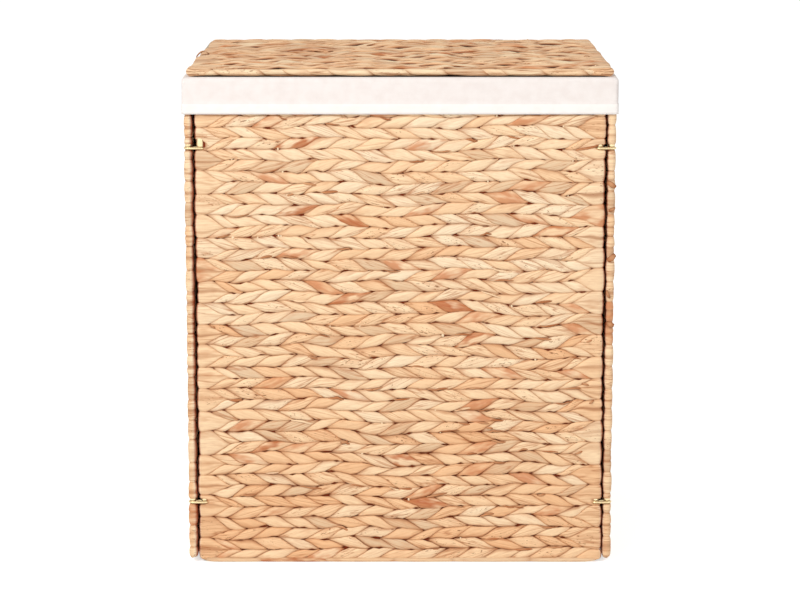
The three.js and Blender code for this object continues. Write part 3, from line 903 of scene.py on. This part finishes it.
# steps along and across each leaf of a panel's inner side
COARSE = (6, 4)
FINER = (8, 6)
front_gaps = (ring_gaps(0, WIDE_GAP), ring_gaps(0))
back_gaps = (ring_gaps(0),) * 2
side_gaps = (ring_gaps(SIDE_LIFT),) * 2
woven = [
    panel("front_weaving", front_width, front_height, place_front, 11, COARSE, front_gaps,
          reach=(2.3, 2.7), shaded_side="tip", pale=0.25, extras=front_extras),
    panel("back_weaving", front_width, front_height, place_back, 12, COARSE, back_gaps,
          reach=(2.7, 2.3), shaded_side="tip", pale=0.15),
    panel("left_weaving", side_width, side_height, place_left, 13, COARSE, side_gaps, hole_height,
          shaded_side="broad", pale=0.15),
    panel("right_weaving", side_width, side_height, place_right, 14, COARSE, side_gaps, hole_height,
          shaded_side="inside", pale=0.15, extras=right_extras),
    panel("lid_weaving", lid_width, lid_depth, place_lid, 15, FINER, lay=(17, 50), crown=lid_crown,
          stub=12, torn=36, loose=2.8, wound=True, extras=lid_extras),
    panel("base_weaving", front_width, base_high[1] - base_low[1], place_base, 16, FINER, stub=0, torn=0),
]
SIDES = ("front", "back", "left", "right", "lid", "base")
for made, body, node in zip(woven, ["walls"] * 4 + ["lid", "base"], SIDES):
    made.data.materials.append(lid_strands if node == "lid" else wall_strands)
    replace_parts(made, node + "_weave")
    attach(made, body)


def grip_route(run):
    """Places and directions at a length of way round a hand hole, from the left end of its lower side."""
    side, half_turn = 2 * HOLE_STRAIGHT, math.pi * HOLE_LOOP
    run = np.mod(run, 2 * side + 2 * half_turn)
    # the upper side and left bend are the lower side and right bend turned half round
    second = run >= side + half_turn
    own = np.where(second, run - side - half_turn, run)
    angle = np.maximum(own - side, 0) / HOLE_LOOP - QUARTER
    x = np.minimum(own, side) - HOLE_STRAIGHT + HOLE_LOOP * np.cos(angle)
    sign = np.where(second, -1, 1)
    return sign * x, sign * HOLE_LOOP * np.sin(angle), -sign * np.sin(angle), sign * np.cos(angle)


WINDING_PITCH = 10.5
WIRE_COVER = 3.5
WINDING_BULGE = 1.35


def grip(name, place, seed):
    """A strand wound round the wire of a hand hole."""
    rng = np.random.default_rng(seed)
    patches = Patches()
    total = 4 * HOLE_STRAIGHT + 2 * math.pi * HOLE_LOOP
    turns = round(total / WINDING_PITCH)
    step = total / turns
    around = np.linspace(0, 2 * math.pi, 17)[:, None]
    t = np.linspace(-1, 1, 7)
    for i in range(turns):
        slant = (i + 0.5) * step + step * (around / FULL_TURN - 0.5) * 0.9
        x, y, tx, ty = grip_route(slant + (step / 2 + 0.35) * t + rng.normal(0, 0.3))
        r = WIRE_COVER + WINDING_BULGE * np.cos(t * QUARTER) ** 0.8 * rng.uniform(0.9, 1.08)
        out = r * np.cos(around)
        points = sheet(x + out * ty, y - out * tx + hole_height, r * np.sin(around))
        strand = sheet(around * ANGLE_TO_METRES, t * step / 2000, rng.uniform())
        # painted shade at each winding's sides, where it meets the next
        patches.add(points, strand, sheet(share_of(rng.normal(0.5, 0.18)), np.abs(t) ** 3, rng.uniform()), True)
    made = patches.done(name, place)
    made.data.materials.append(wall_strands)
    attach(made, "walls")
    return made


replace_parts(grip("left_grip_winding", place_left, 21), "left_grip")
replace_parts(grip("right_grip_winding", place_right, 22), "right_grip")


# ---------------------------------------------------------------- rings and rods

RING_SIDES = 12
BEND_STEPS = 13
SLEEVE_SIDES = 20
SLEEVE_BORE = 2.6
SLEEVE_RADIUS = 3.45
WIDE_SLEEVE_RADIUS = 4.1
SLEEVE_START = 1.5


def ring_piece(name, node, body, along, across):
    """A smooth bent wire ring in the place of a packed one; along and across are the axes of its loop."""
    low, high = box_mm(node)
    a, c = "xyz".index(along), "xyz".index(across)
    up = 3 - a - c
    size = high - low
    reach = size[c] / 2 - RING_WIRE_RADIUS
    straight = size[a] / 2 - RING_WIRE_RADIUS - reach
    angles = np.linspace(-90, 90, BEND_STEPS)
    loops = 2 * BEND_STEPS
    turn = np.radians(np.arange(RING_SIDES) * 360 / RING_SIDES)
    facing = np.radians(np.concatenate([angles, angles + 180]))[:, None]
    out = reach + RING_WIRE_RADIUS * np.cos(turn)
    points = np.zeros((loops, RING_SIDES, 3))
    points[..., a] = straight * np.repeat((1, -1), BEND_STEPS)[:, None] + out * np.cos(facing)
    points[..., c] = out * np.sin(facing)
    points[..., up] = RING_WIRE_RADIUS * np.sin(turn)
    faces = band_faces([(i, (i + 1) % loops) for i in range(loops)], RING_SIDES)
    made = piece(name, points.reshape(-1, 3) + (low + high) / 2, [(p, s, r, q) for p, q, r, s in faces])
    # the loop runs the other way round when its axes do
    if (a, c, up) not in ((0, 1, 2), (1, 2, 0), (2, 0, 1)):
        made.data.flip_normals()
    made.data.materials.append(ring_metal)
    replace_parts(made, node)
    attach(made, body)


for corner in ("front_left", "front_right", "back_left", "back_right"):
    for height in ("low", "high"):
        ring_piece("link_" + corner + "_" + height, "ring_" + corner + "_" + height, "walls", "x", "y")
for end in ("left", "right"):
    ring_piece("lid_link_" + end, "lid_ring_" + end, "lid_rings", "z", "y")
    ring_piece("base_link_" + end, "base_ring_" + end, "walls", "y", "z")


def rod_sleeve(name, x, y, low, high, wide=SLEEVE_RADIUS):
    """A short pale sleeve on an end rod, seen in the gap over a ring."""
    profile = ((SLEEVE_BORE, low), (wide - 0.15, low + 0.1), (wide, low + 0.4),
               (wide, high - 0.4), (wide - 0.15, high - 0.1), (SLEEVE_BORE, high))
    points = []
    for r, z in profile:
        for k in range(SLEEVE_SIDES):
            a = 2 * math.pi * k / SLEEVE_SIDES
            points.append((x + r * math.cos(a), y + r * math.sin(a), z))
    made = piece(name, points, band_faces([(i, i + 1) for i in range(len(profile) - 1)], SLEEVE_SIDES))
    made.data.materials.append(sleeve_metal)
    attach(made, "walls")


front_rod_x = front_width / 2 - ROUND
side_rod_y = side_width / 2 - ROUND
for mark, x in (("left", -1), ("right", 1)):
    for height, z in zip(("low", "high"), ring_heights):
        low, high = z + SLEEVE_START, z + NARROW_GAP[1] + SLEEVE_START
        shows_wide = (mark, height) == ("left", "high")
        rod_sleeve("front_sleeve_" + mark + "_" + height, x * front_rod_x, -front_y, low,
                   z + WIDE_GAP[1] + SLEEVE_START if shows_wide else high,
                   WIDE_SLEEVE_RADIUS if shows_wide else SLEEVE_RADIUS)
        rod_sleeve("back_sleeve_" + mark + "_" + height, x * front_rod_x, front_y, low, high)
        for end, y in (("front", -1), ("back", 1)):
            rod_sleeve(mark + "_sleeve_" + end + "_" + height, x * side_x, y * side_rod_y, low, high)

for name in SIDES:
    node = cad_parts[name + "_frame"]
    node.data.materials.clear()
    node.data.materials.append(rod_metal)


# ---------------------------------------------------------------- cloth liner

liner_low, _ = box_mm("liner")
rim_z = front_high[2] - ROD_INSET
wall_x, wall_y = side_high[0], -front_low[1]
FOLD_RADIUS = 5.85
CUFF_OUT = ROUND + 1.1
BAG_IN = -(ROUND + 2.0)
RIM_TOP, CUFF_DROP = 6.25, 38.7
CUFF_END = rim_z + RIM_TOP - CUFF_DROP
HEM_BAND, HEM_STEP = 10.7, 0.6
HEM_OUT = 0.45
BAG_FOOT = liner_low[2] + 9
# points along each straight side and round each corner of a loop of cloth
SPOTS = (44, 6, 56, 6)


def rounded_loop(x, y, radius):
    """Points round a rounded rectangle, at the same shares of its way round for every size."""
    radius = np.minimum(radius, min(x, y) - 1)
    side, near, top, far = (np.linspace(0, 1, count, endpoint=False) for count in SPOTS)
    near, far = near * QUARTER, QUARTER + far * QUARTER
    half = np.concatenate([
        np.stack([np.full(len(side), x), -(y - radius) + 2 * (y - radius) * side], 1),
        np.stack([x - radius + radius * np.cos(near), y - radius + radius * np.sin(near)], 1),
        np.stack([x - radius - 2 * (x - radius) * top, np.full(len(top), y)], 1),
        np.stack([-(x - radius) + radius * np.cos(far), y - radius + radius * np.sin(far)], 1)])
    return np.concatenate([half, -half])


def fold_at(angle, roundness=0.5):
    """Out and up at an angle of the fold over the rim, which is a rounded square, or a circle at roundness 1."""
    c, v = math.cos(angle), math.sin(angle)
    return FOLD_RADIUS * math.copysign(abs(c) ** roundness, c), FOLD_RADIUS * abs(v) ** roundness


def liner_profile():
    """From the hem over the rim to the bag's floor: out from the walls' middle, height, corner radius, part."""
    rows = [(CUFF_OUT + HEM_OUT, z, 4.0, "hem") for z in np.linspace(CUFF_END, CUFF_END + HEM_BAND, 5)]
    rows += [(CUFF_OUT, z, 4.0, "cuff") for z in np.linspace(CUFF_END + HEM_BAND + HEM_STEP, rim_z - 1, 7)]
    for angle in np.radians(np.linspace(0, 180, 17)):
        out, up = fold_at(angle)
        rows.append((out, rim_z + up, 3 + 6 * angle / math.pi, "fold"))
    rows += [(BAG_IN, z, 10.0, "bag") for z in np.linspace(rim_z - 8, BAG_FOOT, 22)]
    for angle in np.array((0.35, 0.7, 1.0)) * QUARTER:
        rows.append((BAG_IN - 8 * (1 - math.cos(angle)), BAG_FOOT - 8.4 * math.sin(angle), 10.0, "bag"))
    return rows


def cloth_loops():
    """Every loop of the liner with its run of thread, from the hem to the bag's last row."""
    loops, thread, parts = [], [], []
    run = 0
    previous = None
    for out, z, radius, part in liner_profile():
        loop = rounded_loop(wall_x - ROUND + out, wall_y - ROUND + out, radius)
        count = len(loop)
        around = np.arange(count) / count * 2 * math.pi
        away = loop / np.linalg.norm(loop, axis=1)[:, None]
        height = np.full(count, z)
        if part == "bag":
            depth = min(max((rim_z - z) / 120, 0), 1)
            sag = 1.4 * np.sin(around * 9 + z / 90) + 0.9 * np.sin(around * 17 - z / 60)
            loop = loop - away * (depth * (1.9 + sag * 0.7))[:, None]
        elif part == "fold":
            # rounder at the back, where the lid folds down against it
            at_back = share_of((loop[:, 1] - wall_y + 60) / 40)
            angle = (radius - 3) / 6 * math.pi
            square, circle = fold_at(angle), fold_at(angle, 1)
            loop = loop + away * (at_back * (circle[0] - square[0]))[:, None]
            height = rim_z + square[1] + at_back * (circle[1] - square[1])
        else:
            ripple = 0.16 * np.sin(around * 23 + 0.7) + 0.12 * np.sin(around * 41 + z / 9)
            loop = loop + away * (ripple * min(max((rim_z - z) / 12, 0), 1))[:, None]
        loops.append(np.column_stack([loop, height]))
        if previous is not None:
            run += math.hypot(out - previous[0], z - previous[1])
        previous = (out, z)
        way = np.concatenate([[0], np.cumsum(np.linalg.norm(np.diff(loop, axis=0), axis=1))])
        thread.append(np.column_stack([way / 1000, np.full(count, run / 1000), np.zeros(count)]))
        parts.append(part)
    return loops, thread, parts


def cloth_piece(name, loops, thread, hem_rows=0, closed=False):
    """A cloth piece from a stack of loops: its first rows are the hem, and a closed one ends in a fan."""
    count = len(loops[0])
    faces = band_faces([(i, i + 1) for i in range(len(loops) - 1)], count)
    points, marks = np.concatenate(loops), np.concatenate(thread)
    if closed:
        last = len(points) - count
        middle = points[last:].mean(0)
        points, marks = np.vstack([points, middle]), np.vstack([marks, middle * (0.001, 0.001, 0)])
        faces += [(last + k, last + (k + 1) % count, last + count) for k in range(count)]
    made = piece(name, points, faces, {"thread": marks})
    made.data.materials.append(cotton)
    if hem_rows:
        made.data.materials.append(hem_cotton)
        made.data.polygons.foreach_set("material_index", [int(i < hem_rows * count) for i in range(len(faces))])
    thicken = made.modifiers.new("cloth_thickness", "SOLIDIFY")
    thicken.thickness = 0.0008
    thicken.offset = 0
    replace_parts(made, "liner")
    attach(made, "walls")
    return made


loops, thread, parts = cloth_loops()
turn_in = parts.index("bag")
cuff = cloth_piece("liner_cuff", loops[:turn_in], thread[:turn_in], parts.index("cuff") - 1)
# the floor of the bag, drawn in to the middle
bag_loops, bag_thread = loops[turn_in - 1:], thread[turn_in - 1:]
last = bag_loops[-1]
for share in (0.94, 0.8, 0.62, 0.44, 0.26, 0.1):
    inner = np.column_stack([last[:, :2] * share, np.full(len(last), liner_low[2] + 0.6)])
    bag_loops.append(inner)
    bag_thread.append(inner * (0.001, 0.001, 0))
bag = cloth_piece("liner_bag", bag_loops, bag_thread, closed=True)
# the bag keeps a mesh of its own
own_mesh(bag)


# ---------------------------------------------------------------- studio

WHITE = (1, 1, 1, 1)
FLOOR_GLOW = 0.62
SURROUNDING_LIGHT = 0.488
LAMPS_AIM = (0, 0, 0.3)


def studio_white(name, level):
    """Pale floor that shows as plain white to the camera where nothing shades it."""
    made, t, inputs = material(name)
    pale, paler = ((v, v, v, 1) for v in (level - 0.01, level))
    t.put(t.mix(t.use(GRAIN, {"Scale": 40.0})["Grain"], paler, pale), inputs["Base Color"])
    t.put(0.9, inputs["Roughness"])
    t.put(0.0, inputs["Specular IOR Level"])
    t.put(WHITE, inputs["Emission Color"])
    t.put(t.times(t.seen_directly(), FLOOR_GLOW), inputs["Emission Strength"])
    return made


FLOOR_HALF, FLOOR_Z = 9000, -0.3
floor = piece("floor", [(x * FLOOR_HALF, y * FLOOR_HALF, FLOOR_Z) for x, y in ((-1, -1), (1, -1), (1, 1), (-1, 1))],
              [(0, 1, 2, 3)], smooth=False)
floor.data.materials.append(studio_white("studio_floor", 0.9))

world = bpy.data.worlds.new("studio")
bpy.context.scene.world = world
world.use_nodes = True
w = Tree(world.node_tree)
mixer = w.node("MixShader")
w.put(w.seen_directly(), mixer.inputs[0])
# what lights the hamper, and the white that is seen behind it
for backing, strength, socket in ((world.node_tree.nodes["Background"], SURROUNDING_LIGHT, mixer.inputs[1]),
                                  (w.node("Background"), 1.0, mixer.inputs[2])):
    w.put(WHITE, backing.inputs["Color"])
    w.put(strength, backing.inputs["Strength"])
    w.put(backing.outputs[0], socket)
w.put(mixer.outputs[0], world.node_tree.nodes["World Output"].inputs["Surface"])


def lamp(name, place, size, watts):
    light = bpy.data.lights.new(name, "AREA")
    light.energy = watts
    light.size = size
    made = add_object(name, light)
    made.location = place
    made.rotation_euler = (Vector(LAMPS_AIM) - Vector(place)).to_track_quat("-Z", "Y").to_euler()


lamp("key", (-1.6, -2.6, 2.6), 1.4, 76)
lamp("fill", (2.2, -2.2, 1.6), 2.0, 16.5)

# ---------------------------------------------------------------- camera

SENSOR = 36
FOCAL_PER_WIDTH = 2720 / 800
FRONT_AT, FRONT_TO_LENS, LENS_HEIGHT = -0.178, 2.85, 0.8165
LOOKS_DOWN = math.radians(10.141)
camera_data = bpy.data.cameras.new("camera")
camera = add_object("camera", camera_data)
camera_data.sensor_width = SENSOR
camera_data.lens = FOCAL_PER_WIDTH * SENSOR
camera_data.shift_y = -0.02
camera.location = (0, FRONT_AT - FRONT_TO_LENS, LENS_HEIGHT)
camera.rotation_euler = (QUARTER - LOOKS_DOWN, 0, 0)
bpy.context.scene.camera = camera
bpy.context.scene.view_settings.view_transform = "Standard"
